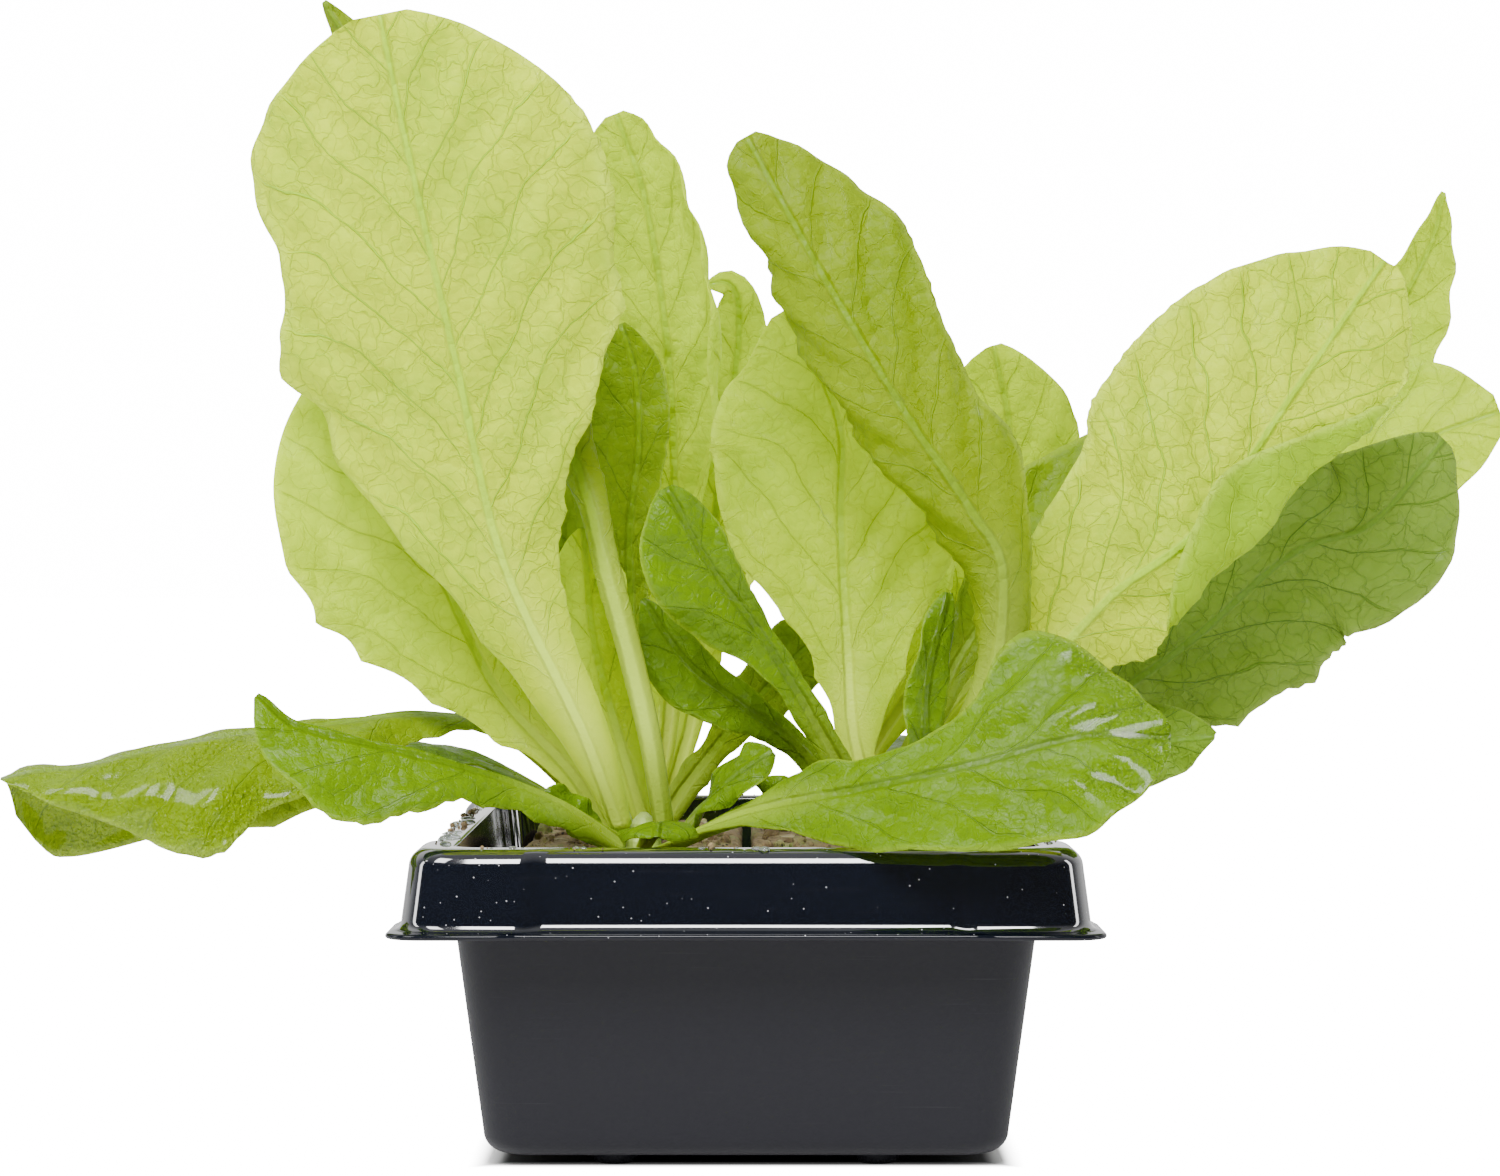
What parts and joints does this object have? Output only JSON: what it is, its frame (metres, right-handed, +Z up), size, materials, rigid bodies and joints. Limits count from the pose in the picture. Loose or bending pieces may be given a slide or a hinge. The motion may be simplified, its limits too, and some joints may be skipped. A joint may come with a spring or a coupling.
{
  "type": "young iceberg lettuce plants in a growing tray",
  "caption": "Young lettuce plants with broad waved leaves, each on a short stem in a peat block, standing in a low black plastic growing tray.",
  "frame": {"origin": "middle of the tray on the ground, on the flat underside of its middle foot", "axes": "+Z up; +X across the short side of the tray; +Y from the front end of the tray to its back end"},
  "size_m": [0.2431, 0.2001, 0.1808],
  "materials": {
    "black_plastic": "thin black thermoformed sheet, glossy on the rim and skirt, duller on the walls",
    "peat": "crumbly pressed peat, matt, with green algae and loose crumbs",
    "stem": "pale green fleshy stem, soft sheen",
    "leaf_pale": "pale yellow-green leaf underside with darker net veins, waxy",
    "leaf_bright": "bright yellow-green leaf with pale midrib, waxy",
    "leaf_mid": "mid green leaf, waxy",
    "leaf_deep": "deep green leaf with pale midrib, glossy",
    "leaf_grey": "shaded grey-green leaf underside with dark veins"
  },
  "bodies": {
    "root": {"tray": "black_plastic", "peat_block_a": "peat", "peat_block_b": "peat", "peat_block_c": "peat", "peat_block_d": "peat", "peat_block_e": "peat", "peat_block_f": "peat", "stem_a": "stem", "stem_b": "stem", "stem_c": "stem", "stem_d": "stem", "stem_e": "stem", "stem_f": "stem", "leaf_a_tall": "leaf_pale", "leaf_a_left": "leaf_bright", "leaf_a_arch": "leaf_mid", "leaf_a_inner": "leaf_bright", "leaf_a_low_right": "leaf_deep", "leaf_a_low_left": "leaf_deep", "leaf_a_first": "leaf_deep", "leaf_a_small_left": "leaf_deep", "leaf_a_small_right": "leaf_deep", "leaf_b_pale": "leaf_bright", "leaf_b_leaning": "leaf_mid", "leaf_b_wide": "leaf_pale", "leaf_b_front": "leaf_deep", "leaf_b_under": "leaf_deep", "leaf_b_crenate": "leaf_deep", "leaf_b_small": "leaf_deep", "leaf_c_mid": "leaf_mid", "leaf_c_far_left": "leaf_mid", "leaf_c_right": "leaf_mid", "leaf_c_back_left": "leaf_mid", "leaf_c_heart": "leaf_bright", "leaf_d_grey": "leaf_grey", "leaf_d_low": "leaf_grey", "leaf_d_right": "leaf_mid", "leaf_d_heart": "leaf_bright", "leaf_e_tall": "leaf_bright", "leaf_e_curl": "leaf_bright", "leaf_e_back_left": "leaf_mid", "leaf_e_back": "leaf_bright", "leaf_f_top": "leaf_bright", "leaf_f_right": "leaf_bright", "leaf_f_curl": "leaf_bright", "leaf_f_back": "leaf_mid", "leaf_f_back_right": "leaf_mid", "leaf_c_low_left": "leaf_deep", "leaf_d_low_right": "leaf_deep", "leaf_e_low_back": "leaf_deep", "leaf_f_low_back": "leaf_deep"}
  },
  "joints": []
}
